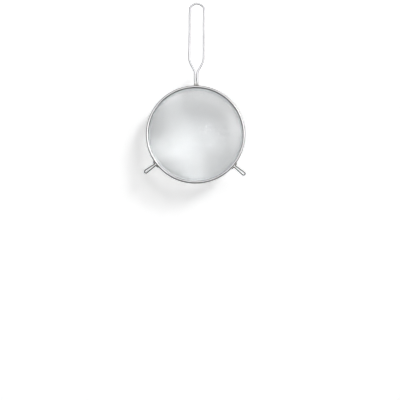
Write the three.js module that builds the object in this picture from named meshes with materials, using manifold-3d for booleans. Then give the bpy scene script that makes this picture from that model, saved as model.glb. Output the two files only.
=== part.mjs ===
// Fine mesh sieve: a round bowl of wire cloth gripped in a folded steel rim, with a bent wire handle
// and two wire rests that prop it over a pot.
// Millimetres, +Z up. The sieve hangs from the crown of its handle. The origin is the inside of the crown,
// the handle runs down -Z to the rim, and the open mouth of the bowl faces -Y.
import * as THREE from 'three';
import { mergeVertices } from 'three/addons/utils/BufferGeometryUtils.js';
import Module from 'manifold-3d';

const wasm = await Module();
wasm.setup();

// Fits
const seatGap = 0.3; // between a piece and the piece that it is welded to or gripped by

// Rim: a steel strip folded over a hoop of wire and over the edge of the cloth
const rimDiameter = 180; // outside of the strip
const rimDepth = 12.5; // front of the rim to the back edge of the strip's outer leg
const innerLegDepth = 6.5; // front of the rim to the back edge of the strip's inner leg
const weldLand = 8; // front of the rim to where the outer leg starts to turn in
const frontLand = 1; // width of the flat front of the fold
const stripSheet = 0.5; // thickness of the strip
const coreWire = 2.8; // hoop inside the fold

// Wire cloth: two layers of crossing wires on a spherical bowl, each layer held by its own hem
const bowlDepth = 62; // front of the rim to the middle of the cloth at the bottom of the bowl
const clothWire = 0.6; // diameter of a wire of the cloth
const clothPitch = 4; // from wire to wire, along the cloth
const clothTurn = -19; // degrees that the cloth is turned in the rim, about the axis of the bowl
const hemSheet = 1; // thickness of one layer of the flattened edge of the cloth
const hemShow = 0.6; // how far the hem shows behind the rim
const hemGrip = 1.2; // how far the end of a wire runs into its hem
const layerGap = 0.2; // least gap between the two layers

// Handle: one wire bent into a long loop
const handleWire = 4;
const handleReach = 156.5; // outside of the rim to the top of the crown
const neckLength = 25; // outside of the rim to where the two legs part
const neckGap = 0.4; // between the two legs in the neck
const flareLength = 21.5; // height over which the legs part
const gripWidth = 30.6; // outside of the loop at its wide lower end
const crownWidth = 29.6; // outside of the loop at the shoulders of its crown
const crownSlope = 32; // degrees that the crown falls from its middle to its shoulders
const heelBend = 4; // bend radii are those of the middle of the wire
const neckBend = 14;
const gripBend = 24;
const shoulderBend = 8;
const crownBend = 11;
const footDepth = 10.5; // front of the rim to the end of the feet that are welded to it

// Rests: two short loops of thinner wire, opposite the handle
const restWire = 2;
const restReach = 26.4; // outside of the rim to the tip of the loop
const restAngle = 51.5; // degrees from the point opposite the handle
const restLoopWidth = 7.7; // outside of the round tip
const restNeckWidth = 5.2; // outside of the loop where it leaves the rim
const restFoot = 5; // length of each foot along the rim
const restHeelBend = 1.8;

// Facets
const rimSides = 60;
const bendCuts = 2; // cuts in each curve of the strip, with twice as many in its round bends
const coreSides = 6;
const handleSides = 10;
const restSides = 8;
const clothSides = 3;
const bendStep = 18; // most degrees between two sections of a bend
const clothStep = 12; // most degrees between two sections of a wire of the cloth

const radians = THREE.MathUtils.degToRad;

// Places that the pieces share, measured from the axis of the bowl and from the front of the rim
const rimRadius = rimDiameter / 2;
const foldRadius = coreWire / 2 + seatGap + stripSheet; // half the width of the fold
const foldCentre = rimRadius - foldRadius;
const rimDrop = handleReach - handleWire + rimRadius; // origin down to the axis of the bowl

// The middle of the cloth is a sphere: it leaves the inner side of the core wire and reaches the bowl's bottom
const clothTop = foldRadius + coreWire / 2 + 2 * seatGap;
const clothMouth = foldCentre - coreWire / 2;
const clothRise = bowlDepth - clothTop;
const clothRadius = (clothMouth ** 2 + clothRise ** 2) / (2 * clothRise);
const clothCentre = bowlDepth - clothRadius;
const chordSag = clothRadius * (1 - Math.cos(radians(clothStep / 2)));
const layerOffset = (Math.max(clothWire + chordSag, hemSheet) + layerGap) / 2;
const hemBottom = rimDepth + hemShow;

// Radius of the bowl at a depth, on a sphere a little outside or inside the middle of the cloth
function bowlRadius(depth, offset = 0) {
  return Math.sqrt((clothRadius + offset) ** 2 - (depth - clothCentre) ** 2);
}

function steel(color, roughness) {
  return new THREE.MeshStandardMaterial({ color, roughness, metalness: 1 });
}

const rimSteel = steel(0xc9cccd, 0.28);
const wireSteel = steel(0xdfe1e2, 0.22);
const clothSteel = steel(0xbfc4c6, 0.35);

// Geometry and solids
function toSolid(geometry) {
  const bare = geometry.clone();
  bare.deleteAttribute('normal');
  bare.deleteAttribute('uv');
  const merged = mergeVertices(bare, 1e-4);
  return new wasm.Manifold(
    new wasm.Mesh({
      numProp: 3,
      vertProperties: merged.getAttribute('position').array,
      triVerts: new Uint32Array(merged.index.array),
    }),
  );
}

function toGeometry(solid) {
  const { vertProperties, triVerts } = solid.getMesh();
  const geometry = new THREE.BufferGeometry();
  geometry.setAttribute('position', new THREE.BufferAttribute(vertProperties, 3));
  geometry.setIndex(new THREE.BufferAttribute(triVerts, 1));
  geometry.computeVertexNormals();
  return geometry;
}

// A closed outline turned about the axis of the bowl, which is Y
function turned(outline) {
  const loop = THREE.ShapeUtils.isClockWise(outline) ? outline.slice().reverse() : outline;
  return new THREE.LatheGeometry([...loop, loop[0]], rimSides);
}

// The closed outline of a strip of sheet metal, from the line through the middle of its thickness
function stripOutline(line, thickness) {
  const sides = [[], []];
  line.forEach((point, i) => {
    const before = line[Math.max(i - 1, 0)];
    const after = line[Math.min(i + 1, line.length - 1)];
    const along = after.clone().sub(before).normalize();
    const across = new THREE.Vector2(-along.y, along.x).multiplyScalar(thickness / 2);
    sides[0].push(point.clone().add(across));
    sides[1].unshift(point.clone().sub(across));
  });
  return sides.flat();
}

// A line through given points, with one section of a swept wire at each of them
class WireLine extends THREE.Curve {
  constructor(points) {
    super();
    this.points = points;
  }
  getUtoTmapping(u) {
    return u;
  }
  getPoint(t, target = new THREE.Vector3()) {
    const place = t * (this.points.length - 1);
    const i = Math.min(Math.floor(place), this.points.length - 2);
    return target.lerpVectors(this.points[i], this.points[i + 1], place - i);
  }
}

function sweptWire(points, diameter, sides) {
  const corner = (_, i) => {
    const angle = (2 * Math.PI * i) / sides;
    return new THREE.Vector2(Math.cos(angle), Math.sin(angle)).multiplyScalar(diameter / 2);
  };
  const section = new THREE.Shape(Array.from({ length: sides }, corner));
  const extrudePath = new WireLine(points);
  return new THREE.ExtrudeGeometry(section, { steps: points.length - 1, extrudePath });
}

// The points of a wire bent at its corners: each inner corner is [place, bend radius]
function bentLine(start, corners, end) {
  const places = [start, ...corners.map(([place]) => place), end];
  const points = [start];
  corners.forEach(([place, bend], i) => {
    const back = places[i].clone().sub(place);
    const ahead = places[i + 2].clone().sub(place);
    const room = Math.min(back.length() / (i ? 2 : 1), ahead.length() / (i < corners.length - 1 ? 2 : 1));
    const half = back.angleTo(ahead) / 2;
    const reach = Math.min(bend / Math.tan(half), room);
    const first = back.setLength(reach);
    const last = ahead.setLength(reach);
    const inward = first.clone().add(last).setLength(reach / Math.cos(half));
    const turn = Math.PI - 2 * half;
    const steps = Math.ceil(turn / radians(bendStep));
    for (let s = 0; s <= steps; s++) {
      const from = Math.sin(turn * (1 - s / steps)) / Math.sin(turn);
      const to = Math.sin((turn * s) / steps) / Math.sin(turn);
      const arm = first.clone().sub(inward).multiplyScalar(from);
      arm.addScaledVector(last.clone().sub(inward), to);
      points.push(place.clone().add(inward).add(arm));
    }
  });
  return [...points, end];
}

// Mirrors the first half of a wire, so that both legs are alike, with any corners in the middle between them
function mirroredCorners(half, middle = []) {
  const flip = ([place, bend]) => [place.clone().multiply(new THREE.Vector3(-1, 1, 1)), bend];
  return [...half, ...middle, ...half.map(flip).reverse()];
}

// The strip is a teardrop in section: folded over the core wire in front, pinched on the cloth behind
function rimBand() {
  const side = foldRadius - stripSheet / 2;
  const corner = side - frontLand / 2;
  const bend = stripSheet / 2 + corner; // depth of the middle of the two bends beside the front land
  const grip = layerOffset + hemSheet / 2 + seatGap + stripSheet / 2;
  const line = new THREE.Path();
  line.moveTo(bowlRadius(rimDepth, grip), rimDepth);
  line.quadraticCurveTo(foldCentre + side, (weldLand + rimDepth) / 2, foldCentre + side, weldLand);
  line.lineTo(foldCentre + side, bend);
  line.absarc(foldCentre + frontLand / 2, bend, corner, 0, -Math.PI / 2, true);
  line.absarc(foldCentre - frontLand / 2, bend, corner, -Math.PI / 2, -Math.PI, true);
  line.lineTo(bowlRadius(clothTop, -grip), clothTop);
  line.lineTo(bowlRadius(innerLegDepth, -grip), innerLegDepth);
  return turned(stripOutline(line.getPoints(bendCuts), stripSheet));
}

function rimCore() {
  const core = new THREE.Path().absarc(foldCentre, foldRadius, coreWire / 2, 0, -2 * Math.PI, true);
  return turned(core.getPoints(coreSides / 2).slice(0, -1));
}

// One layer of parallel wires on the bowl, with the flattened hem that joins their ends
function clothLayer(offset) {
  const radius = clothRadius + offset;
  const hemLine = [clothTop, hemBottom].map((depth) => new THREE.Vector2(bowlRadius(depth, offset), depth));
  const solids = [toSolid(turned(stripOutline(hemLine, hemSheet)))];
  const wireEnd = hemBottom - hemGrip - clothCentre; // along the axis, from the centre of the sphere
  const last = Math.floor((clothRadius * Math.acos(wireEnd / radius)) / clothPitch);
  for (let i = -last; i <= last; i++) {
    const aside = radius * Math.sin((i * clothPitch) / clothRadius);
    const arcRadius = Math.sqrt(radius ** 2 - aside ** 2);
    if (arcRadius <= wireEnd) continue;
    const sweep = Math.acos(wireEnd / arcRadius);
    const steps = Math.max(2, Math.ceil((2 * sweep) / radians(clothStep)));
    const at = (_, s) => {
      const angle = sweep * ((2 * s) / steps - 1);
      return new THREE.Vector3(aside, clothCentre + arcRadius * Math.cos(angle), arcRadius * Math.sin(angle));
    };
    solids.push(toSolid(sweptWire(Array.from({ length: steps + 1 }, at), clothWire, clothSides)));
  }
  return toGeometry(wasm.Manifold.union(solids));
}

function handleLoop() {
  const neck = (handleWire + neckGap) / 2;
  const grip = (gripWidth - handleWire) / 2;
  const crown = (crownWidth - handleWire) / 2;
  const rimTop = rimRadius - rimDrop;
  const seat = rimTop + seatGap + handleWire / 2;
  const slope = radians(crownSlope);
  const crownCorner = handleWire / 2 + crownBend / Math.cos(slope) - crownBend; // above the bend's own top
  const shoulder = crownCorner - crown * Math.tan(slope);
  const place = (x, z) => new THREE.Vector3(x, foldRadius, z);
  const leg = [
    [place(neck, seat), heelBend],
    [place(neck, rimTop + neckLength), neckBend],
    [place(grip, rimTop + neckLength + flareLength), gripBend],
    [place(crown, shoulder), shoulderBend],
  ];
  const corners = mirroredCorners(leg, [[place(0, crownCorner), crownBend]]);
  const foot = (side) => new THREE.Vector3(side * neck, footDepth, seat);
  return sweptWire(bentLine(foot(1), corners, foot(-1)), handleWire, handleSides);
}

// A rest points down -Z from the axis of the bowl, and is turned to its place by its mesh
function restLoop() {
  const seat = rimRadius + seatGap + restWire / 2;
  const neck = (restNeckWidth - restWire) / 2;
  const tip = (restLoopWidth - restWire) / 2;
  const onRim = (x) => new THREE.Vector3(x, 0, -Math.sqrt(seat ** 2 - x ** 2));
  const corners = mirroredCorners([
    [onRim(neck), restHeelBend],
    [new THREE.Vector3(tip, 0, restWire / 2 - rimRadius - restReach), tip],
  ]);
  return sweptWire(bentLine(onRim(neck + restFoot), corners, onRim(-neck - restFoot)), restWire, restSides);
}

const sieve = new THREE.Group();

function addPiece(name, geometry, material, parent = sieve) {
  const mesh = new THREE.Mesh(geometry, material);
  mesh.name = name;
  parent.add(mesh);
  return mesh;
}

const bowl = new THREE.Group();
bowl.position.z = -rimDrop;
sieve.add(bowl);

addPiece('rim_band', rimBand(), rimSteel, bowl);
addPiece('rim_core_wire', rimCore(), wireSteel, bowl);
addPiece('mesh_warp', clothLayer(layerOffset), clothSteel, bowl).rotation.y = radians(clothTurn);
addPiece('mesh_weft', clothLayer(-layerOffset), clothSteel, bowl).rotation.y = radians(clothTurn + 90);
addPiece('handle', handleLoop(), wireSteel);

for (const [name, side] of [['left_rest', 1], ['right_rest', -1]]) {
  const rest = addPiece(name, restLoop(), wireSteel, bowl);
  rest.position.y = (foldRadius + weldLand) / 2;
  rest.rotation.y = side * radians(restAngle);
}

export default sieve;
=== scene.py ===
# Looks of a fine mesh sieve: a woven wire bowl, its folded rim, a wire handle and two wire rests
import math

import bpy
import numpy as np
from mathutils import Matrix, Vector


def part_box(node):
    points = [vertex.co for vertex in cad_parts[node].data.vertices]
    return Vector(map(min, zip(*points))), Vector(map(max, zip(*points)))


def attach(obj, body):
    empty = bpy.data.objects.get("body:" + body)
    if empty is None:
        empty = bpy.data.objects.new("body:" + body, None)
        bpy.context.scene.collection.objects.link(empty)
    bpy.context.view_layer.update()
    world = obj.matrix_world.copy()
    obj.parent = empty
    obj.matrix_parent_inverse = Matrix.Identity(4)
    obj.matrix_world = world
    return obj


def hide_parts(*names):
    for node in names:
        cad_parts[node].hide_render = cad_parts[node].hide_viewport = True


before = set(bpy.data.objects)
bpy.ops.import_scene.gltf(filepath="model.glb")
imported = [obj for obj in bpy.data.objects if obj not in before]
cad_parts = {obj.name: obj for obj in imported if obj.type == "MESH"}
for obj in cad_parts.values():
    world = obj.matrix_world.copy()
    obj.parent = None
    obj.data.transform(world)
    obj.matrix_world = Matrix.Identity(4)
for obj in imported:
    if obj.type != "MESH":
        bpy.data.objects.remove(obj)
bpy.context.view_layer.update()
mm = 0.001  # shapes are worked out in millimetres, meshes are in metres

# The rim's solid gives the axis of the bowl and the front of the rim, and all else is measured from these
rimLow, rimHigh = (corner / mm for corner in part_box("rim_band"))
rimRadius = (rimHigh.x - rimLow.x) / 2
rimMiddle = np.array([(rimLow.x + rimHigh.x) / 2, rimLow.y, (rimLow.z + rimHigh.z) / 2])
rimTop = rimHigh.z
print("frame: rim radius", round(rimRadius, 2), "mm, axis at", rimMiddle.round(2))


# Small tools for shapes

def unit(vectors):
    return vectors / np.linalg.norm(vectors, axis=-1, keepdims=True)


def aroundAxis(radius, angle, depth):  # a point on a circle about the bowl's axis, angle 0 at the handle
    return rimMiddle + [radius * math.sin(angle), depth, radius * math.cos(angle)]


def wobble(places, length, size, seed):  # a slow smooth waver, the same in every run
    waves = [(1.0, 0.0), (1.7, 1.3), (2.9, 4.1)]
    peak = 1.9  # about the most that the waves add up to
    total = sum(np.sin(math.tau * rate * places / length + seed + shift) / rate for rate, shift in waves)
    return size * total / peak


def bentLine(corners, step):  # corners are (place, bend radius), the first and last have no bend
    places = [np.array(place, float) for place, _ in corners]
    points = [places[0]]
    for before, (_, bend), here, after in zip(places, corners[1:-1], places[1:-1], places[2:]):
        back, ahead = unit(before - here), unit(after - here)
        half = math.acos(np.clip(back @ ahead, -1, 1)) / 2
        middle = here + unit(back + ahead) * bend / math.sin(half)
        first = here + back * bend / math.tan(half) - middle
        last = here + ahead * bend / math.tan(half) - middle
        turn = math.pi - 2 * half
        for share in np.linspace(0, 1, max(2, math.ceil(turn / step)) + 1):
            arm = first * math.sin(turn * (1 - share)) + last * math.sin(turn * share)
            points.append(middle + arm / math.sin(turn))
    points.append(places[-1])
    return np.array(points)


def evenLine(points, spacing):  # the same line with points at a steady spacing
    along = np.concatenate([[0], np.cumsum(np.linalg.norm(np.diff(points, axis=0), axis=1))])
    marks = np.linspace(0, along[-1], max(2, round(along[-1] / spacing)) + 1)
    return np.stack([np.interp(marks, along, column) for column in points.T], -1)


def sectionFrames(points, sideways):  # tangent, and two directions across it, at each point of a line
    tangent = unit(np.gradient(points, axis=0))
    across = unit(sideways - (sideways * tangent).sum(-1, keepdims=True) * tangent)
    return tangent, across, np.cross(tangent, across)


def roundSpokes(across, other, sides):  # directions round a line at each of its points
    angle = np.linspace(0, math.tau, sides, endpoint=False)
    return np.cos(angle)[:, None] * across[:, None] + np.sin(angle)[:, None] * other[:, None]


def roundWire(points, diameter, sides, sideways, endCuts=5):  # rings of a wire with rounded ends
    tangent, across, other = sectionFrames(points, sideways)
    spokes = roundSpokes(across, other, sides)
    rings = [points[:, None] + spokes * diameter / 2]
    for end, way in ((0, -1), (-1, 1)):
        tip = np.linspace(0, math.pi / 2, endCuts + 1)[1:-1]
        cap = points[end] + way * tangent[end] * np.sin(tip)[:, None] * diameter / 4  # a filed, low dome
        dome = cap[:, None] + spokes[end] * np.cos(tip)[:, None, None] * diameter / 2
        rings = [dome[::-1], *rings] if way < 0 else [*rings, dome]
    poles = [points[end] + way * tangent[end] * diameter / 4 for end, way in ((0, -1), (-1, 1))]
    return np.concatenate(rings), poles


# A skin over rings of points: faces, a run map in millimetres along and around, and a flat map for baking
def skin(rings, poles=None, cell=(0.0, 0.0, 1.0, 1.0)):
    count, sides = rings.shape[:2]
    points = rings.reshape(-1, 3)
    along = np.linalg.norm(np.diff(rings.mean(1), axis=0), axis=1)
    along = np.concatenate([[0], np.cumsum(along)])
    widest = rings[count // 2]
    around = np.linalg.norm(np.roll(widest, -1, 0) - widest, axis=1)
    around = np.concatenate([[0], np.cumsum(around)])
    row, column = np.meshgrid(np.arange(count - 1), np.arange(sides), indexing="ij")
    row, column = row.ravel(), column.ravel()
    beside = (column + 1) % sides
    corners = [
        (row, column, column), (row, beside, column + 1),
        (row + 1, beside, column + 1), (row + 1, column, column),
    ]
    faces = np.stack([r * sides + c for r, c, _ in corners], -1).tolist()
    run = np.stack([np.stack([along[r], around[a]], -1) for r, _, a in corners], 1).reshape(-1, 2).tolist()
    if poles is not None:
        points = np.concatenate([points, poles])
        base = (count - 1) * sides
        poleRun = 0.5  # millimetres from the last ring to a pole
        for k in range(sides):
            n, middle = (k + 1) % sides, (around[k] + around[k + 1]) / 2
            faces.append([n, k, count * sides])
            run += [(along[0], around[k + 1]), (along[0], around[k]), (along[0] - poleRun, middle)]
            faces.append([base + k, base + n, count * sides + 1])
            run += [(along[-1], around[k]), (along[-1], around[k + 1]), (along[-1] + poleRun, middle)]
    run = np.array(run)
    share = (run - run.min(0)) / np.ptp(run, axis=0)
    low, high = np.array(cell[:2]), np.array(cell[2:])
    return points, faces, run, low + share * (high - low)


def stackCells(count, gap=0.1):  # one row of the bake map for each part of a piece
    return [(0.01, (i + gap / 2) / count, 0.99, (i + 1 - gap / 2) / count) for i in range(count)]


def makePiece(name, parts, material, replaced=(), sharpAngle=None):
    points, faces, runs, bakes, start = [], [], [], [], 0
    for part in parts:
        points.append(part[0])
        faces += [[start + corner for corner in face] for face in part[1]]
        runs.append(part[2])
        bakes.append(part[3])
        start += len(part[0])
    mesh = bpy.data.meshes.new(name)
    mesh.from_pydata((np.concatenate(points) * mm).tolist(), [], faces)
    for layer, flat in (("OFBake", bakes), ("Run", runs)):
        mesh.uv_layers.new(name=layer).data.foreach_set("uv", np.concatenate(flat).astype(np.float32).ravel())
    mesh.shade_smooth()
    if sharpAngle:
        mesh.set_sharp_from_angle(angle=math.radians(sharpAngle))
    mesh.materials.append(material)
    piece = bpy.data.objects.new(name, mesh)
    bpy.context.scene.collection.objects.link(piece)
    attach(piece, "root")
    if replaced:
        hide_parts(*replaced)
    print("piece:", name, len(mesh.polygons), "faces")
    return piece


# Small tools for finishes

def put(tree, kind, inputs, out=0, **settings):  # adds a node, sets or wires its inputs, gives one output
    node = tree.nodes.new(kind)
    for key, value in settings.items():
        setattr(node, key, value)
    for key, value in inputs.items():
        if isinstance(value, bpy.types.NodeSocket):
            tree.links.new(value, node.inputs[key])
        else:
            node.inputs[key].default_value = value
    return node.outputs[out] if node.outputs else None


def times(tree, first, second):
    return put(tree, "ShaderNodeMath", {0: first, 1: second}, operation="MULTIPLY")


def greater(tree, first, second):
    return put(tree, "ShaderNodeMath", {0: first, 1: second}, operation="MAXIMUM")


def newFinish(name):
    material = bpy.data.materials.new(name)
    material.use_nodes = True
    tree = material.node_tree
    shader = tree.nodes["Principled BSDF"]
    shader.inputs["Metallic"].default_value = 1.0
    run = put(tree, "ShaderNodeUVMap", {}, uv_map="Run")
    place = put(tree, "ShaderNodeTexCoord", {}, "Object")
    return material, tree, shader, run, place


def streaks(tree, run, scales, detail=4.0):  # lines that follow the run of the metal, scales along and around
    stretched = put(tree, "ShaderNodeVectorMath", {0: run, 1: (*scales, 0.0)}, operation="MULTIPLY")
    return put(tree, "ShaderNodeTexNoise", {"Vector": stretched, "Scale": 1.0, "Detail": detail})


def patches(tree, place, size, detail=3.0):  # soft clouds, size in millimetres
    return put(tree, "ShaderNodeTexNoise", {"Vector": place, "Scale": 1 / (size * mm), "Detail": detail})


def spread(tree, value, low, high, fromLow=0.3, fromHigh=0.7):
    inputs = {"Value": value, "From Min": fromLow, "From Max": fromHigh, "To Min": low, "To Max": high}
    return put(tree, "ShaderNodeMapRange", inputs)


def between(tree, share, first, second):
    return put(tree, "ShaderNodeMix", {"Factor": share, "A": first, "B": second}, data_type="FLOAT")


def blendColour(tree, share, first, second):  # the colour sockets of the node have no names of their own
    return put(tree, "ShaderNodeMix", {0: share, 6: first, 7: second}, 2, data_type="RGBA")


def depthOf(tree, place):
    return put(tree, "ShaderNodeSeparateXYZ", {0: place}, "Y")


def nearSpots(tree, place, spots, reach):  # 1 at the spots, 0 from reach millimetres away
    shares = []
    for spot in spots:
        middle = [value * mm for value in spot]
        gap = put(tree, "ShaderNodeVectorMath", {0: place, 1: middle}, "Value", operation="DISTANCE")
        shares.append(spread(tree, gap, 1.0, 0.0, 0.0, reach * mm))
    total = shares[0]
    for share in shares[1:]:
        total = greater(tree, total, share)
    return total


wear = (0.12, 0.42)  # strength of lines and clouds together where dull steel starts and is full


def wornSteel(tree, lines, clouds, bright, dull):
    return blendColour(tree, spread(tree, times(tree, lines, clouds), 0.0, 1.0, *wear), bright, dull)


def bumpFrom(tree, shader, height, depth, normal=None):  # depth of the relief in millimetres
    inputs = {"Height": height, "Distance": depth * mm}
    if normal:
        inputs["Normal"] = normal
    tree.links.new(put(tree, "ShaderNodeBump", inputs), shader.inputs["Normal"])


# Bowl: the middle of the cloth is a sphere that leaves the rim at its mouth and reaches the bottom

bowl = {
    "depth": 62.0,  # front of the rim to the middle of the cloth at the bottom
    "mouthDepth": 4.2, "mouthRadius": 86.4,  # where the sphere meets the wire inside the rim
}
bowlRise = bowl["depth"] - bowl["mouthDepth"]
bowlRadius = (bowl["mouthRadius"] ** 2 + bowlRise ** 2) / (2 * bowlRise)
bowlCentre = bowl["depth"] - bowlRadius  # depth of the sphere's centre


def radiusAt(depth, offset=0.0):
    return math.sqrt((bowlRadius + offset) ** 2 - (depth - bowlCentre) ** 2)


cloth = {
    "pitch": 1.15, "wire": 0.34,
    "turn": 19.0,  # degrees that the weave is turned, seen into the mouth
    "edgeDepth": 7.4,  # where the cut ends of the wires lie inside the rim
    "endRun": 0.1, "endBake": 0.05,  # size of a cut end in the two maps
}


# Where wires are welded, from the axis of the bowl
welds = {
    "footDepth": 10.5,  # front of the rim to the end of the handle's feet
    "restDepth": 5.1,  # middle of the rests' wire
    "restAngle": 51.5,  # degrees from the point opposite the handle
    "restSlip": 0.6,  # degrees that both rests are turned off their even places
    "handleDepth": 6.5,  # middle of the handle's weld
    "rise": 1.0,  # middle of the welds outside the rim
}


def restTurn(side):  # side is 1 for the left rest and -1 for the right one
    return math.radians(side * welds["restAngle"] + welds["restSlip"])


weldRadius = rimRadius + welds["rise"]
handleSpot = aroundAxis(weldRadius, 0.0, welds["handleDepth"])
restSpots = [aroundAxis(weldRadius, math.pi + restTurn(side), welds["restDepth"]) for side in (1, -1)]
weldSpots = [handleSpot, *restSpots]


# Finishes

wireGrain = {
    "lines": (0.04, 5.0), "clouds": 14, "marks": 1.6, "marksDetail": 5.0,
    "smudge": (0.12, 0.4),  # strength of clouds and marks where they start to dull the polish, and do in full
    "weldTintEdge": (0.2, 0.6),  # nearness to a weld where its colour starts and is full
}
# On the handle the tint by the welds is painted light: a light matt steel that brightens the heel, which
# would mirror the dark floor
handleLook = {
    "steel": (0.52, 0.52, 0.53, 1), "dull": (0.46, 0.46, 0.47, 1), "weldTint": (0.84, 0.83, 0.81, 1),
    "polish": (0.60, 0.70), "matt": 0.76, "lineDepth": 0.012, "weldTintReach": 11.0,
    "glance": (1, 1, 1, 1),  # how bright it is at a glancing look
}
# The rests' near black steel and dim glancing shine are painted dark reflection, standing in for the dark
# room the wires mirror
restLook = {
    "steel": (0.08, 0.085, 0.09, 1), "dull": (0.05, 0.055, 0.06, 1), "weldTint": (0.07, 0.06, 0.05, 1),
    "polish": (0.36, 0.48), "matt": 0.56, "lineDepth": 0.012, "weldTintReach": 6.0,
    "glance": (0.25, 0.25, 0.25, 1),
}


def drawnWire(name, look):
    material, tree, shader, run, place = newFinish(name)
    lines = streaks(tree, run, wireGrain["lines"])
    clouds = patches(tree, place, wireGrain["clouds"])
    marks = patches(tree, place, wireGrain["marks"], wireGrain["marksDetail"])
    steel = wornSteel(tree, lines, clouds, look["steel"], look["dull"])
    nearWelds = nearSpots(tree, place, weldSpots, look["weldTintReach"])
    weldTint = spread(tree, nearWelds, 0.0, 1.0, *wireGrain["weldTintEdge"])
    # By the welds the rests take a dark heat tint and the handle a painted light tone
    tree.links.new(blendColour(tree, weldTint, steel, look["weldTint"]), shader.inputs["Base Color"])
    polish = spread(tree, times(tree, clouds, marks), *look["polish"], *wireGrain["smudge"])
    tree.links.new(between(tree, weldTint, polish, look["matt"]), shader.inputs["Roughness"])
    shader.inputs["Specular Tint"].default_value = look["glance"]
    bumpFrom(tree, shader, lines, look["lineDepth"])
    return material


rolledStripLook = {
    "front": (0.40, 0.40, 0.40, 1), "dull": (0.33, 0.33, 0.33, 1), "lightInside": (0.86, 0.87, 0.88, 1),
    "weldTint": (0.24, 0.22, 0.20, 1), "weldTintReach": 8.0, "heatShare": 0.4, "weldTintEdge": (0.25, 1.0),
    "lines": (0.03, 4.0), "lineDepth": 0.01, "clouds": 18,
    "scratches": (0.5, 1.6), "scratchDetail": 8.0, "polish": (0.34, 0.48),
    "bead": (3.2, 4.4),  # depth where the handled bead turns into the legs behind it
    "inside": (0.2, -0.2),  # how far a leg looks to the axis where its lighter inside starts, painted light against the shade in the fold
    # How far a face looks from or to the axis where painted flank shade starts and is full, and its colour
    "flankShade": [(-0.02, 0.4, (0.12, 0.12, 0.12, 1)), (-0.40, -0.78, (0.12, 0.12, 0.12, 1))],
    "mottle": 0.75,  # least share of the painted flank shade in its clouds
    "unshadedReach": 6.0, "unshadedEdge": (0.1, 0.5),  # how far round the handle's weld the painted flank shade is left out
}


def awayFromAxis(tree, place):  # 1 where a face looks straight away from the axis of the bowl
    shift = put(tree, "ShaderNodeVectorMath", {0: place, 1: rimMiddle * mm}, operation="SUBTRACT")
    spoke = put(tree, "ShaderNodeVectorMath", {0: shift, 1: (1, 0, 1)}, operation="MULTIPLY")
    spoke = put(tree, "ShaderNodeVectorMath", {0: spoke}, operation="NORMALIZE")
    looks = put(tree, "ShaderNodeTexCoord", {}, "Normal")
    return put(tree, "ShaderNodeVectorMath", {0: spoke, 1: looks}, "Value", operation="DOT_PRODUCT")


def rolledStrip():
    look = rolledStripLook
    material, tree, shader, run, place = newFinish("rolled_strip")
    lines = streaks(tree, run, look["lines"])
    clouds = patches(tree, place, look["clouds"])
    scratches = streaks(tree, run, look["scratches"], look["scratchDetail"])
    steel = wornSteel(tree, lines, clouds, look["front"], look["dull"])
    away = awayFromAxis(tree, place)
    nearHandle = nearSpots(tree, place, [handleSpot], look["unshadedReach"])
    kept = spread(tree, nearHandle, 1.0, 0.0, *look["unshadedEdge"])
    flankShadeShare = times(tree, kept, spread(tree, clouds, look["mottle"], 1.0))
    fold = steel
    # Painted shade: flanks that look away from the axis or toward it are darkened, standing in for the dark
    # room they mirror
    for start, full, colour in look["flankShade"]:
        flank = spread(tree, away, 0.0, 1.0, start, full)
        fold = blendColour(tree, times(tree, flankShadeShare, flank), fold, colour)
    leg = spread(tree, depthOf(tree, place), 0.0, 1.0, *(value * mm for value in look["bead"]))
    # Painted light: the insides of the legs, which lie in the fold's shade, get a far lighter steel than the
    # front
    legSteel = blendColour(tree, spread(tree, away, 0.0, 1.0, *look["inside"]), steel, look["lightInside"])
    strip = blendColour(tree, leg, fold, legSteel)
    nearRests = nearSpots(tree, place, restSpots, look["weldTintReach"])
    # Heat tint of the strip round the rests' welds
    weldTint = spread(tree, nearRests, 0.0, look["heatShare"], *look["weldTintEdge"])
    tree.links.new(blendColour(tree, weldTint, strip, look["weldTint"]), shader.inputs["Base Color"])
    tree.links.new(spread(tree, scratches, *look["polish"]), shader.inputs["Roughness"])
    bumpFrom(tree, shader, lines, look["lineDepth"])
    return material


clothLook = {
    "steel": (0.70, 0.72, 0.73, 1), "dull": (0.62, 0.64, 0.65, 1), "edge": (0.72, 0.74, 0.75, 1),
    "paintedLightReach": (9.0, 16.0),  # depths between which the lighter cloth by the rim, painted light against the rim's shade, turns into the worn bowl
    "lines": (0.3, 9.0), "lineDepth": 0.004, "clouds": 22, "polish": (0.32, 0.38),
    "crimp": 0.2,  # steepest slope of a wire between two crossings
}


def crimpedNormal(tree, run, spacing, slope):  # the wires rise and fall smoothly between crossings
    along = put(tree, "ShaderNodeSeparateXYZ", {0: run}, "X")
    wave = put(tree, "ShaderNodeMath", {0: times(tree, along, math.pi / spacing)}, operation="SINE")
    rise = times(tree, wave, slope)
    ahead = put(tree, "ShaderNodeTangent", {}, direction_type="UV_MAP", uv_map="Run")
    slant = put(tree, "ShaderNodeVectorMath", {"Vector": ahead, "Scale": rise}, operation="SCALE")
    normal = put(tree, "ShaderNodeNewGeometry", {}, "Normal")
    slanted = put(tree, "ShaderNodeVectorMath", {0: normal, 1: slant}, operation="ADD")
    return put(tree, "ShaderNodeVectorMath", {0: slanted}, operation="NORMALIZE")


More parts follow.
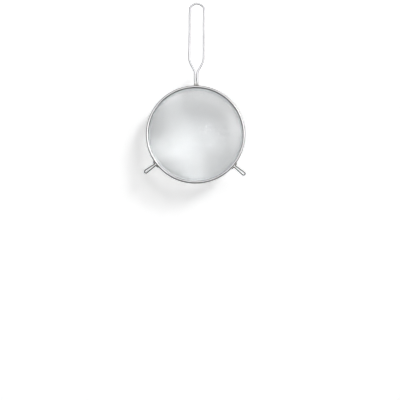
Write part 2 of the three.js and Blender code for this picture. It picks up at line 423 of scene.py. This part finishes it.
def wovenWire():
    look = clothLook
    material, tree, shader, run, place = newFinish("woven_wire")
    lines = streaks(tree, run, look["lines"])
    clouds = patches(tree, place, look["clouds"])
    steel = wornSteel(tree, lines, clouds, look["steel"], look["dull"])
    reach = [(rimMiddle[1] + depth) * mm for depth in look["paintedLightReach"]]
    awayFromRim = spread(tree, depthOf(tree, place), 0.0, 1.0, *reach)
    # Painted light: the cloth by the rim is a lighter steel, against the shade that the rim casts on it
    tree.links.new(blendColour(tree, awayFromRim, look["edge"], steel), shader.inputs["Base Color"])
    tree.links.new(spread(tree, clouds, *look["polish"]), shader.inputs["Roughness"])
    spacing = math.hypot(cloth["pitch"], cloth["wire"])  # length of wire from one crossing to the next
    bumpFrom(tree, shader, lines, look["lineDepth"], crimpedNormal(tree, run, spacing, look["crimp"]))
    return material


weldLook = {
    "steel": (0.70, 0.70, 0.69, 1), "burnt": (0.54, 0.51, 0.47, 1), "polish": (0.45, 0.65),
    "grain": 0.7, "grainDetail": 6.0, "grainDepth": 0.06, "clouds": 3,
}


def weldMetal():
    look = weldLook
    material, tree, shader, _, place = newFinish("weld_metal")
    grain = patches(tree, place, look["grain"], look["grainDetail"])
    clouds = patches(tree, place, look["clouds"])
    colour = blendColour(tree, spread(tree, clouds, 0.0, 1.0), look["steel"], look["burnt"])
    tree.links.new(colour, shader.inputs["Base Color"])
    tree.links.new(spread(tree, grain, *look["polish"]), shader.inputs["Roughness"])
    bumpFrom(tree, shader, grain, look["grainDepth"])
    return material


handleFinish, restFinish = drawnWire("handle_wire", handleLook), drawnWire("rest_wire", restLook)
stripFinish, clothFinish, weldFinish = rolledStrip(), wovenWire(), weldMetal()
print("finishes: handle wire, rest wire, rolled strip, woven wire, weld metal")


# Square cloth pressed on a sphere keeps the length of its wires, and its squares shear into diamonds
def pressedNet():
    step = cloth["pitch"] / bowlRadius
    edge = (cloth["edgeDepth"] - bowlCentre) / bowlRadius
    last = math.ceil(math.acos(edge) / step) + 2
    angles = step * np.arange(last + 1)
    quarter = np.zeros((last + 1, last + 1, 3))
    quarter[:, 0] = np.stack([np.sin(angles), 0 * angles, np.cos(angles)], -1)
    quarter[0] = np.stack([0 * angles, np.sin(angles), np.cos(angles)], -1)
    for total in range(2, 2 * last + 1):
        i = np.arange(max(1, total - last), min(last, total - 1) + 1)
        j = total - i
        middle = unit(quarter[i, j - 1] + quarter[i - 1, j])
        corner = quarter[i - 1, j - 1]
        quarter[i, j] = 2 * (middle * corner).sum(-1, keepdims=True) * middle - corner
    index = np.arange(-last, last + 1)
    net = quarter[abs(index)[:, None], abs(index)[None]]
    net[..., 0] *= np.where(index < 0, -1, 1)[:, None]
    net[..., 1] *= np.where(index < 0, -1, 1)[None]
    turn = math.radians(cloth["turn"])
    first = np.array([math.cos(turn), 0, math.sin(turn)])
    second = np.array([-math.sin(turn), 0, math.cos(turn)])
    outward = net @ np.stack([first, second, [0, 1, 0]])
    return outward, net[..., 2] >= edge, (-1.0) ** (index[:, None] + index[None])


def clothWires(outward, inside, over):  # one wire for each row of the net
    wires = []
    sphere = rimMiddle + [0, bowlCentre, 0]
    for way, keep, side in zip(outward, inside, over):
        if keep.sum() < 3:
            continue
        way, side = way[keep], side[keep]
        line = sphere + way * (bowlRadius + side[:, None] * cloth["wire"] / 2)
        wires.append((line, way))
    parts = []
    square = np.array([[0, 0], [0, 1], [1, 1], [1, 0]])
    sides = len(square)  # four are enough for so thin a wire
    endRun = square * cloth["endRun"]
    for (line, way), cell in zip(wires, stackCells(len(wires))):
        _, across, other = sectionFrames(line, way)
        rings = line[:, None] + roundSpokes(across, other, sides) * cloth["wire"] / 2
        points, faces, run, bake = skin(rings, None, cell)
        last = (len(line) - 1) * sides
        faces += [[3, 2, 1, 0], [last, last + 1, last + 2, last + 3]]
        endBake = np.array(cell[:2]) - endRun * [cloth["endBake"], 0]
        run = np.concatenate([run, endRun, endRun])
        bake = np.concatenate([bake, endBake, endBake])
        parts.append((points, faces, run, bake))
    return parts


net, inside, over = pressedNet()
warp = clothWires(net.swapaxes(0, 1), inside.T, over.T)
weft = clothWires(net, inside, -over)
makePiece("cloth_warp", warp, clothFinish, ["mesh_warp"])
makePiece("cloth_weft", weft, clothFinish, ["mesh_weft"])


# Rim: a strip folded over a hoop of wire, with both legs pinched on the cloth

rim = {
    "sheet": 0.5, "frontLand": 1.0, "foldWidth": 4.4, "coreWire": 2.8,
    "weldLand": 7.6, "shoulder": 2.2,  # depth where the outer leg starts to turn in, and how softly
    "innerLip": (5.4, 10.8), "outerLip": (11.2, 12.5),  # depths where the legs lie on the cloth
    "seam": 0.1,  # gap where the two ends of the strip meet
    "lipGap": 0.05, "tucks": (1.3, 1.0),  # gap of a leg on the cloth, and how softly each leg meets it
    "innerTurn": (0.4, 1.6),  # behind the front bend, where the inner leg starts to turn in, and how softly
    "wave": 0.05, "lipWave": 0.18,  # unevenness of the fold and of its edges
    "waves": 7, "lipWaves": 31,  # in one turn
    "lipStart": 7.0, "lipReach": 5.0,  # depth where the edges' unevenness starts, and in how much it is full
    "sides": 288, "hoopCuts": 160, "hoopSides": 16,
    "bakeCell": (0.0, 0.0, 0.96, 1.0), "endCells": ((0.965, 0.1), (0.965, 0.6)), "endScale": 0.0025,
}


def bezier(points, cuts):
    t = np.linspace(0, 1, cuts + 1)[:, None]
    a, b, c, d = (np.array(point, float) for point in points)
    return a * (1 - t) ** 3 + 3 * b * t * (1 - t) ** 2 + 3 * c * t ** 2 * (1 - t) + d * t ** 3


def arc(middle, radius, start, end, cuts):
    angle = np.radians(np.linspace(start, end, cuts + 1))
    return np.array(middle) + radius * np.stack([np.cos(angle), np.sin(angle)], -1)


def rimLine():  # middle of the strip's thickness as (radius, depth), from the outer edge to the inner one
    half = rim["foldWidth"] / 2
    centre = rimRadius - half
    side = half - rim["sheet"] / 2
    corner = side - rim["frontLand"] / 2
    bend = rim["sheet"] / 2 + corner
    lie = cloth["wire"] + rim["sheet"] / 2 + rim["lipGap"]
    outer = [(radiusAt(depth, lie), depth) for depth in np.linspace(*rim["outerLip"][::-1], 4)]
    inner = [(radiusAt(depth, -lie), depth) for depth in np.linspace(*rim["innerLip"], 8)]
    land = (centre + side, rim["weldLand"])
    shoulder = (centre + side, rim["weldLand"] + rim["shoulder"])
    tuck = np.array(outer[-1]) - rim["tucks"][0] * unit(np.array(outer[-2]) - np.array(outer[-1]))
    tuckIn = np.array(inner[0]) - rim["tucks"][1] * unit(np.array(inner[1]) - np.array(inner[0]))
    turnIn = [(centre - side, bend + step) for step in rim["innerTurn"]]
    return np.concatenate([
        outer[:-1],
        bezier([outer[-1], tuck, shoulder, land], 9),
        [(centre + side, rim["weldLand"] / 2)],
        arc((centre + rim["frontLand"] / 2, bend), corner, 0, -90, 8),
        arc((centre - rim["frontLand"] / 2, bend), corner, -90, -180, 8),
        bezier([*turnIn, tuckIn, inner[0]], 6),
        inner[1:],
    ])


def stripOutline(line, thickness):  # closed outline with rounded edges, its two sides paired end to end
    along = unit(np.gradient(line, axis=0))
    across = np.stack([-along[:, 1], along[:, 0]], -1) * thickness / 2
    first, second = line + across, line - across
    reach = thickness / 2
    for end, way in ((0, -1), (-1, 1)):
        tip = line[end] + along[end] * way * reach * 0.7
        nose = [tip + across[end] * 0.6, tip - across[end] * 0.6]
        if way < 0:
            first, second = np.vstack([nose[0], first]), np.vstack([nose[1], second])
        else:
            first, second = np.vstack([first, nose[0]]), np.vstack([second, nose[1]])
    return np.vstack([first, second[::-1]])


def rimStrip():
    outline = stripOutline(rimLine(), rim["sheet"])
    r, d = outline.T
    if (r * np.roll(d, -1) - np.roll(r, -1) * d).sum() > 0:
        outline = outline[::-1]
    half = rim["seam"] / 2 / rimRadius
    angle = np.linspace(half, math.tau - half, rim["sides"] + 1)
    lip = np.clip((outline[:, 1] - rim["lipStart"]) / rim["lipReach"], 0, 1) ** 2
    waver = wobble(angle, math.tau / rim["waves"], rim["wave"], seed=0.4)[:, None] * (1 - lip)
    ragged = wobble(angle, math.tau / rim["lipWaves"], rim["lipWave"], seed=2.2)[:, None] * lip
    radius = outline[None, :, 0] + 0 * waver
    depth = outline[None, :, 1] + waver.clip(0) + ragged
    across, up = np.sin(angle)[:, None], np.cos(angle)[:, None]
    rings = np.stack([radius * across, depth, radius * up], -1) + rimMiddle
    points, faces, run, bake = skin(rings, None, rim["bakeCell"])
    sides = len(outline)
    last = rim["sides"] * sides
    flat = outline - outline.min(0)
    for start, turn, corner in zip((0, last), (1, -1), rim["endCells"]):
        for k in range(sides // 2 - 1):
            ring = [k, k + 1, sides - 2 - k, sides - 1 - k][::turn]
            faces.append([start + i for i in ring])
            run = np.concatenate([run, flat[ring]])
            bake = np.concatenate([bake, np.array(corner) + flat[ring] * rim["endScale"]])
    return [(points, faces, run, bake)]


def coreHoop():
    angle = np.linspace(0, math.tau, rim["hoopCuts"] + 1)
    spin = np.linspace(0, math.tau, rim["hoopSides"], endpoint=False)
    half = rim["foldWidth"] / 2
    radius = rimRadius - half + rim["coreWire"] / 2 * np.cos(spin)
    depth = half - rim["coreWire"] / 2 * np.sin(spin)
    angle, radius = angle[:, None], radius[None]
    across, back, up = radius * np.sin(angle), depth[None] + 0 * angle, radius * np.cos(angle)
    rings = np.stack([across, back, up], -1) + rimMiddle
    points, faces, run, bake = skin(rings)
    seam = len(points) - rim["hoopSides"]
    faces = [[corner % seam for corner in face] for face in faces]
    return [(points[:seam], faces, run, bake)]


makePiece("folded_rim", rimStrip(), stripFinish, ["rim_band"], 40)
makePiece("core_hoop", coreHoop(), restFinish, ["rim_core_wire"])


# Handle: one wire bent into a long loop, with two feet welded along the rim

handle = {
    "wire": 4.0, "gap": 0.3,  # gap under the feet
    "neck": 2.2, "grip": 13.3, "crown": 12.8,  # middle of the wire, from the plane between the legs
    "neckHeight": 25.0, "gripHeight": 46.5,  # above the rim
    "crownSlope": 32.0,  # degrees that the crown falls to its shoulders
    "heelBend": 4.0, "neckBend": 14.0, "gripBend": 24.0, "shoulderBend": 8.0, "crownBend": 11.0,
    "sides": 24, "cut": 1.2, "bendStep": 4.0,  # millimetres between rings, degrees between points of a bend
    "sideways": (0.3, 0.5, 0.81),  # a direction that the wire never runs in
    "waver": 0.12, "waverLengths": (90.0, 70.0),
    "waverStart": 20.0, "waverRise": 30.0, "waverFade": 20.0,  # above the rim, and below the crown
}


def handleLine():
    plane = rimMiddle[1] + rim["foldWidth"] / 2
    seat = rimTop + handle["gap"] + handle["wire"] / 2
    slope = math.radians(handle["crownSlope"])
    # The inside of the crown is the origin
    top = handle["wire"] / 2 + handle["crownBend"] * (1 / math.cos(slope) - 1)
    shoulder = top - handle["crown"] * math.tan(slope)
    half = [
        ((handle["neck"], rimMiddle[1] + welds["footDepth"], seat), 0),
        ((handle["neck"], plane, seat), handle["heelBend"]),
        ((handle["neck"], plane, rimTop + handle["neckHeight"]), handle["neckBend"]),
        ((handle["grip"], plane, rimTop + handle["gripHeight"]), handle["gripBend"]),
        ((handle["crown"], plane, shoulder), handle["shoulderBend"]),
    ]
    mirrored = [((-x, y, z), bend) for (x, y, z), bend in reversed(half)]
    crown = [((0, plane, top), handle["crownBend"])]
    line = evenLine(bentLine(half + crown + mirrored, math.radians(handle["bendStep"])), handle["cut"])
    share = np.clip((line[:, 2] - rimTop - handle["waverStart"]) / handle["waverRise"], 0, 1)
    share = share * np.clip(-line[:, 2] / handle["waverFade"], 0, 1)
    for column, length, seed in zip((0, 1), handle["waverLengths"], (1.0, 3.0)):
        line[:, column] += share * wobble(line[:, 2], length, handle["waver"], seed)
    return line


def wirePart(line, sizes):
    rings, poles = roundWire(line, sizes["wire"], sizes["sides"], np.array(sizes["sideways"]))
    return skin(rings, poles, (0.01, 0.01, 0.99, 0.99))


makePiece("wire_handle", [wirePart(handleLine(), handle)], handleFinish, ["handle"])


# Rests: two short loops of thinner wire, with feet welded round the rim

rest = {
    "wire": 2.0, "gap": 0.3, "reach": 26.4, "tip": 2.85, "neck": 1.6, "foot": 5.0, "heelBend": 1.8,
    "sides": 18, "cut": 0.5, "bendStep": 5.0, "sideways": (0.01, 1.0, 0.02),  # as for the handle
}


def onCircle(x, radius):  # a point opposite the handle, x aside
    return (x, 0, -math.sqrt(radius ** 2 - x ** 2))


def restLine(side):
    seat = rimRadius + rest["gap"] + rest["wire"] / 2
    half = [
        (onCircle(rest["neck"] + rest["foot"], seat), 0),
        (onCircle(rest["neck"], seat), rest["heelBend"]),
        ((rest["tip"], 0, rest["wire"] / 2 - rimRadius - rest["reach"]), rest["tip"]),
    ]
    mirrored = [((-x, y, z), bend) for (x, y, z), bend in reversed(half)]
    line = evenLine(bentLine(half + mirrored, math.radians(rest["bendStep"])), rest["cut"])
    turn = np.array(Matrix.Rotation(restTurn(side), 3, "Y"))
    return line @ turn.T + rimMiddle + [0, welds["restDepth"], 0]


for name, side in (("left", 1), ("right", -1)):
    parts = [wirePart(restLine(side), rest)]
    makePiece(name + "_wire_rest", parts, restFinish, [name + "_rest"])


# Welds: rippled beads where the wires sit on the rim, and a tack that holds the neck together

bead = {
    "width": 2.0, "tackWidth": 1.5, "restWidth": 1.1,
    "ripple": 0.08, "ripplePitch": 0.9, "sides": 14, "cut": 0.18,
    "front": 4.8, "endGap": 0.4,  # start of the beads by the handle's feet, and how far they stop short
    "rise": 0.35, "sink": 0.3,  # middle of a bead above the rim, and how far it lies in the wire
    "tack": (8.0, 14.0), "tackBack": 1.1,  # height of the tack above the rim, behind the middle of the wire
    "restRise": 0.25, "restAside": 0.75, "restGaps": (0.6, 0.2),  # the same for the rests' feet
}


def beadPart(start, end, width, sideways, cell):
    start, end = np.array(start, float), np.array(end, float)
    length = np.linalg.norm(end - start)
    marks = np.linspace(0.02, 0.98, max(12, round(length / bead["cut"])))
    line = start + marks[:, None] * (end - start)
    ripple = bead["ripple"] * np.sin(math.tau * marks * length / bead["ripplePitch"])
    swell = np.sqrt(1 - (2 * marks - 1) ** 4) * (1 + ripple)
    _, across, other = sectionFrames(line, np.array(sideways, float))
    spokes = roundSpokes(across, other, bead["sides"])
    rings = line[:, None] + spokes * (swell * width / 2)[:, None, None]
    return skin(rings, [start, end], cell)


def handleWelds():
    cells = stackCells(4)
    low = rimTop + bead["rise"]
    front, back = rimMiddle[1] + bead["front"], rimMiddle[1] + welds["footDepth"] - bead["endGap"]
    side = handle["neck"] + handle["wire"] / 2 - bead["sink"]
    parts = [
        beadPart((x, front, low), (x, back, low), bead["width"], (0, 0, 1), cell)
        for x, cell in zip((-side, 0, side), cells)
    ]
    plane = rimMiddle[1] + rim["foldWidth"] / 2 + bead["tackBack"]
    ends = [(0, plane, rimTop + height) for height in bead["tack"]]
    parts.append(beadPart(*ends, bead["tackWidth"], (0, 1, 0), cells[3]))
    return parts


def restWelds(side):
    turn = np.array(Matrix.Rotation(restTurn(side), 3, "Y"))
    first, last = rest["neck"] + bead["restGaps"][0], rest["neck"] + rest["foot"] - bead["restGaps"][1]
    spots = [(flank, way * bead["restAside"]) for flank in (1, -1) for way in (-1, 1)]
    parts = []
    for (flank, aside), cell in zip(spots, stackCells(4)):
        shift = [0, welds["restDepth"] + aside, 0]
        points = [np.array(onCircle(flank * along, rimRadius + bead["restRise"])) for along in (first, last)]
        ends = [turn @ (point + shift) + rimMiddle for point in points]
        parts.append(beadPart(*ends, bead["restWidth"], (0, 1, 0), cell))
    return parts


makePiece("handle_welds", handleWelds(), weldFinish)
for name, side in (("left", 1), ("right", -1)):
    makePiece(name + "_rest_welds", restWelds(side), weldFinish)


# Room: the sieve hangs on its crown with its bowl on the wall, so the room leans in the sieve's frame

room = {"lean": 8.5}  # degrees
lean = math.radians(room["lean"])
roomRight = Vector((1, 0, 0))
roomUp = Vector((0, -math.sin(lean), math.cos(lean)))
roomBack = Vector((0, math.cos(lean), math.sin(lean)))  # from the viewer to the wall


# Stage: a pale wall that the bowl rests on and a pale floor, for the shadow and the background

stage = {
    "wide": 6.0, "tall": 5.0, "deep": 4.0,  # metres
    "drop": 3.0,  # metres from the bowl to the floor
    "gap": 0.3,  # millimetres between the bowl and the wall
    "wall": (0.88, 0.88, 0.88, 1), "floor": (0.80, 0.80, 0.80, 1),
    "glow": {"wall": (0.35, 0.52), "floor": (0.0, 0.0)},  # below and above the rim's top; the stronger glow above is painted light, brightening the wall towards the top and washing out the handle's shadow
    "glowRise": 40.0,  # millimetres in which the glow goes from one to the other
}


def stagePaint(name):
    material = bpy.data.materials.new(name + "_paint")
    material.use_nodes = True
    tree = material.node_tree
    tree.nodes.clear()
    rays = tree.nodes.new("ShaderNodeLightPath").outputs
    seen = greater(tree, rays["Is Camera Ray"], rays["Is Glossy Ray"])
    seen = greater(tree, seen, rays["Is Transmission Ray"])
    height = put(tree, "ShaderNodeSeparateXYZ", {0: put(tree, "ShaderNodeNewGeometry", {}, "Position")}, "Z")
    reach = (rimTop * mm, (rimTop + stage["glowRise"]) * mm)
    # Painted light: the wall's glow grows above the rim's top
    white = spread(tree, height, *stage["glow"][name], *reach)
    paint = put(tree, "ShaderNodeBsdfDiffuse", {"Color": stage[name]})
    shine = put(tree, "ShaderNodeEmission", {"Strength": times(tree, seen, white)})
    front = put(tree, "ShaderNodeAddShader", {0: paint, 1: shine})
    back = put(tree, "ShaderNodeNewGeometry", {}, "Backfacing")  # open from behind, for views of the back
    clear = put(tree, "ShaderNodeBsdfTransparent", {})
    surface = put(tree, "ShaderNodeMixShader", {0: back, 1: front, 2: clear})
    put(tree, "ShaderNodeOutputMaterial", {"Surface": surface})
    return material


def stageSheet(name, corner, across, along):
    mesh = bpy.data.meshes.new(name)
    mesh.from_pydata([corner, corner + across, corner + across + along, corner + along], [], [(0, 1, 2, 3)])
    mesh.materials.append(stagePaint(name))
    sheet = bpy.data.objects.new(name, mesh)
    bpy.context.scene.collection.objects.link(sheet)


def buildStage():
    sphere = Vector(rimMiddle + [0, bowlCentre, 0])
    touch = (sphere + roomBack * (bowlRadius + cloth["wire"] + stage["gap"])) * mm
    corner = touch - roomRight * stage["wide"] / 2 - roomUp * stage["drop"]
    across = roomRight * stage["wide"]
    stageSheet("wall", corner, across, roomUp * stage["tall"])
    stageSheet("floor", corner - roomBack * stage["deep"], across, roomBack * stage["deep"])
    print("stage: wall and floor")


# Light: two soft lamps from the upper right, one more there that only the metal shows, and a dim room
# with two wide windows above the viewer

light = {
    # Aside and above for each unit of distance from the wall, strength, degrees wide
    "key": (0.40, 0.44, 0.76, 14.0),
    "side": (0.68, 0.71, 0.84, 15.0),
    "glint": (0.75, 0.70, 2.2, 8.0),  # seen in the metal alone
    "fill": 0.336,  # of the room on matt surfaces
    "dim": 0.04,  # of the room in the metal
    "windows": [(0.50, 0.50, 0.9), (-0.50, 0.50, 2.2)],  # aside and above as for lamps, level in the metal
    "windowReach": (36.0, 20.0),  # degrees from the middle of a window where its light starts and is full
}


def towards(aside, above):
    return (aside * roomRight + above * roomUp - roomBack).normalized()


def addLamp(name, onMatt=True):
    aside, above, strength, width = light[name]
    lamp = bpy.data.lights.new(name, "SUN")
    lamp.energy, lamp.angle = strength, math.radians(width)
    body = bpy.data.objects.new(name, lamp)
    body.rotation_mode = "QUATERNION"
    body.rotation_quaternion = towards(aside, above).to_track_quat("Z", "Y")
    body.visible_diffuse = onMatt
    bpy.context.scene.collection.objects.link(body)


def windowLight(tree, way, aside, above, level):
    middle = towards(aside, above)
    facing = put(tree, "ShaderNodeVectorMath", {0: way, 1: middle}, "Value", operation="DOT_PRODUCT")
    angle = put(tree, "ShaderNodeMath", {0: facing}, operation="ARCCOSINE")
    return spread(tree, angle, 0.0, level, *(math.radians(reach) for reach in light["windowReach"]))


def buildLight():
    addLamp("key")
    addLamp("side")
    addLamp("glint", False)
    world = bpy.data.worlds.new("room")
    bpy.context.scene.world = world
    world.use_nodes = True
    tree = world.node_tree
    tree.nodes.clear()
    way = put(tree, "ShaderNodeTexCoord", {}, "Generated")
    mirrored = light["dim"]
    for window in light["windows"]:
        mirrored = put(tree, "ShaderNodeMath", {0: windowLight(tree, way, *window), 1: mirrored})
    rays = tree.nodes.new("ShaderNodeLightPath").outputs
    level = between(tree, rays["Is Glossy Ray"], light["fill"], mirrored)
    level = between(tree, greater(tree, rays["Is Camera Ray"], rays["Is Transmission Ray"]), level, 1.0)
    surface = put(tree, "ShaderNodeBackground", {"Color": (1, 1, 1, 1), "Strength": level})
    put(tree, "ShaderNodeOutputWorld", {"Surface": surface})
    print("light: key, side and glint lamps, and a room with", len(light["windows"]), "windows")


# Camera: square to the wall, where the picture was taken from

camera = {
    "lens": 85.0, "sensor": 36.0, "picture": 400,  # picture is its width in pixels
    "pixel": 1.81,  # millimetres in one pixel at the rim
    "roll": 0.6, "pitch": 1.3,  # degrees, pitch is how far it looks down
    "rimAt": (195.6, 134.1),  # middle of the rim in the picture
}


def buildCamera():
    data = bpy.data.cameras.new("camera")
    data.lens, data.sensor_width = camera["lens"], camera["sensor"]
    roll, pitch = math.radians(camera["roll"]), math.radians(camera["pitch"])
    ahead = math.cos(pitch) * roomBack - math.sin(pitch) * roomUp
    level = math.cos(pitch) * roomUp + math.sin(pitch) * roomBack
    right = math.cos(roll) * roomRight + math.sin(roll) * level
    up = math.cos(roll) * level - math.sin(roll) * roomRight
    distance = camera["pixel"] * camera["picture"] * camera["lens"] / camera["sensor"] * mm
    aside = (camera["rimAt"][0] - camera["picture"] / 2) * camera["pixel"] * mm
    above = (camera["picture"] / 2 - camera["rimAt"][1]) * camera["pixel"] * mm
    aim = Vector(rimMiddle + [0, rim["foldWidth"] / 2, 0]) * mm
    matrix = Matrix((right, up, -ahead)).transposed().to_4x4()
    matrix.translation = aim - distance * ahead - aside * right - above * up
    body = bpy.data.objects.new("camera", data)
    body.matrix_world = matrix
    bpy.context.scene.collection.objects.link(body)
    bpy.context.scene.camera = body
    print("camera:", round(distance, 3), "m from the rim")


buildStage()
buildLight()
buildCamera()
bpy.context.scene.view_settings.view_transform = "Standard"
